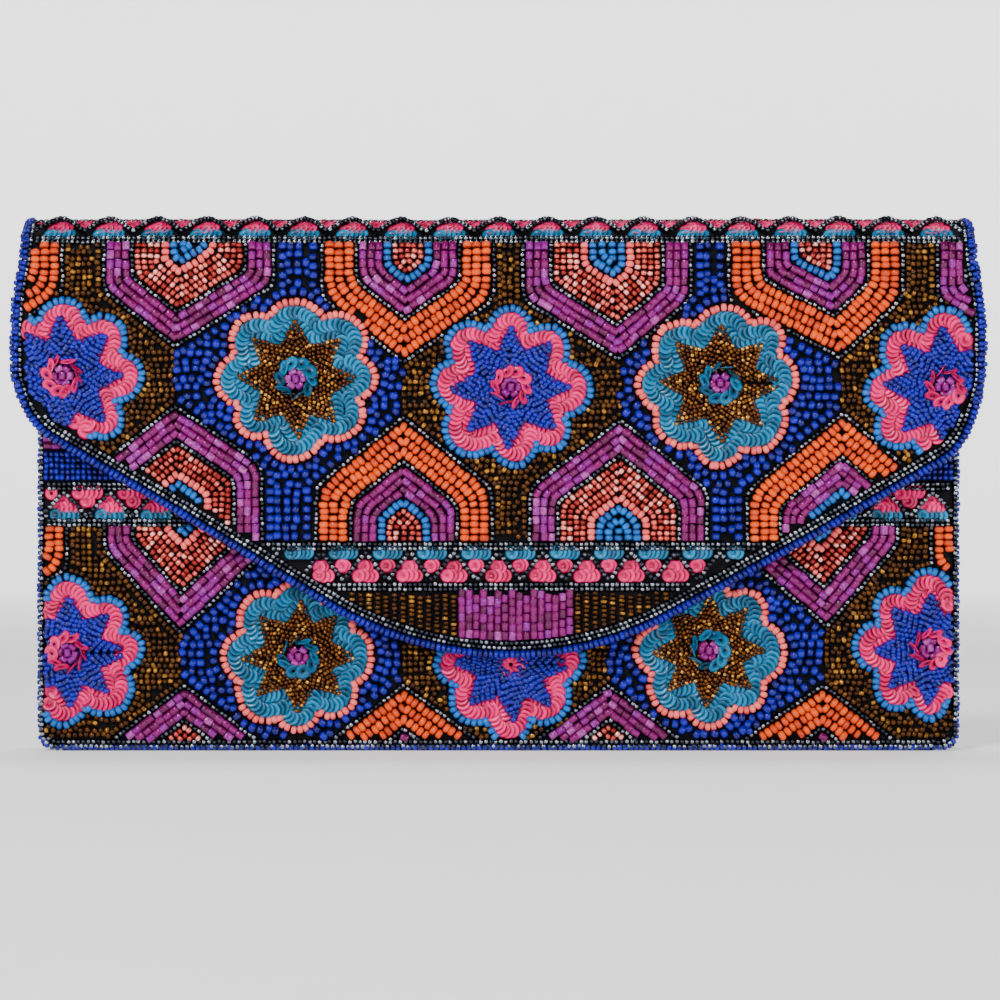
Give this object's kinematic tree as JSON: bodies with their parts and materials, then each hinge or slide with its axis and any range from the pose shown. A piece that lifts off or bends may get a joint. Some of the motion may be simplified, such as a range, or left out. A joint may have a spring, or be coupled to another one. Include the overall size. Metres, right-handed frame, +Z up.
{
  "type": "clutch purse",
  "caption": "Rectangular stiffened clutch purse closed by a pointed fold-over flap with a magnetic snap, covered in sewn glass beads and sequins.",
  "frame": {"origin": "middle of the base that the purse stands on, half way between its front and back", "axes": "+X along the purse, -Y towards the flap and front, +Z up towards the fold"},
  "size_m": [0.3054, 0.0354, 0.168],
  "materials": {
    "satin": "black ground cloth, soft sheen",
    "lining": "black twill lining",
    "board": "matt stiffener board",
    "cobalt_beads": "glossy cobalt seed beads",
    "steel_beads": "metallic hematite seed beads",
    "purple_bugles": "iridescent purple bugle beads",
    "orange_beads": "opaque orange seed beads",
    "salmon_beads": "opaque salmon seed beads",
    "sky_beads": "opaque sky-blue seed beads",
    "copper_beads": "copper-lined seed beads",
    "amber_beads": "silver-lined amber seed beads",
    "gold_bugles": "silver-lined gold bugle beads",
    "pink_sequins": "hot pink flat sequins",
    "turquoise_sequins": "turquoise flat sequins",
    "snap_metal": "polished nickel plate",
    "magnet": "dark magnet"
  },
  "bodies": {
    "purse": {"back_cloth": "satin", "back_board": "board", "back_lining": "lining", "slip_pocket": "lining", "back_beadwork": "purple_bugles", "back_edge_beading": "steel_beads", "base_cloth": "satin", "base_lining": "lining", "left_gusset": "satin", "right_gusset": "satin", "back_fold_cloth": "satin", "back_fold_lining": "lining", "back_fold_beads": "amber_beads", "back_flower_upper_1": "pink_sequins", "back_flower_upper_2": "turquoise_sequins", "back_flower_upper_3": "pink_sequins", "back_flower_upper_4": "turquoise_sequins", "back_flower_upper_5": "pink_sequins", "back_flower_lower_1": "pink_sequins", "back_flower_lower_2": "turquoise_sequins", "back_flower_lower_3": "pink_sequins", "back_flower_lower_4": "turquoise_sequins", "back_flower_lower_5": "pink_sequins"},
    "spine": {"spine_cloth": "satin", "spine_lining": "lining", "spine_beads": "steel_beads"},
    "flap": {"flap_fold_cloth": "satin", "flap_fold_lining": "lining", "flap_fold_beads": "orange_beads", "flap_cloth": "satin", "flap_board": "board", "flap_lining": "lining", "flap_beadwork_upper": "orange_beads", "flap_zigzag_band": "pink_sequins", "flap_beadwork_tip": "amber_beads", "flap_edge_beading": "cobalt_beads", "flap_flower_1": "pink_sequins", "flap_flower_2": "turquoise_sequins", "flap_flower_3": "pink_sequins", "flap_flower_4": "turquoise_sequins", "flap_flower_5": "pink_sequins", "snap_stud": "snap_metal", "snap_stud_washer": "snap_metal"},
    "front": {"front_cloth": "satin", "front_board": "board", "front_lining": "lining", "front_hem_binding": "satin", "front_beadwork_top": "cobalt_beads", "front_zigzag_band": "pink_sequins", "front_beadwork_lower": "purple_bugles", "front_edge_beading": "steel_beads", "front_flower_1": "pink_sequins", "front_flower_2": "turquoise_sequins", "front_flower_3": "pink_sequins", "front_flower_4": "turquoise_sequins", "front_flower_5": "pink_sequins", "snap_cap": "snap_metal", "snap_magnet": "magnet", "snap_cap_washer": "snap_metal"}
  },
  "joints": [
    {"name": "fold_upper", "type": "hinge", "parent": "purse", "child": "spine", "pos_m": [0, 0.00884, 0.16284], "axis": [-1, 0, 0], "range_deg": [0, 90]},
    {"name": "fold_lower", "type": "hinge", "parent": "spine", "child": "flap", "pos_m": [0, -0.00884, 0.16284], "axis": [-1, 0, 0], "range_deg": [0, 90]},
    {"name": "mouth", "type": "hinge", "parent": "purse", "child": "front", "pos_m": [0, -0.00445, 0.0009], "axis": [1, 0, 0], "range_deg": [0, 5]}
  ],
  "couplings": [
    {"joint": "fold_lower", "follows": "fold_upper", "ratio": 1},
    {"joint": "mouth", "follows": "fold_upper", "ratio": 0.0555}
  ]
}
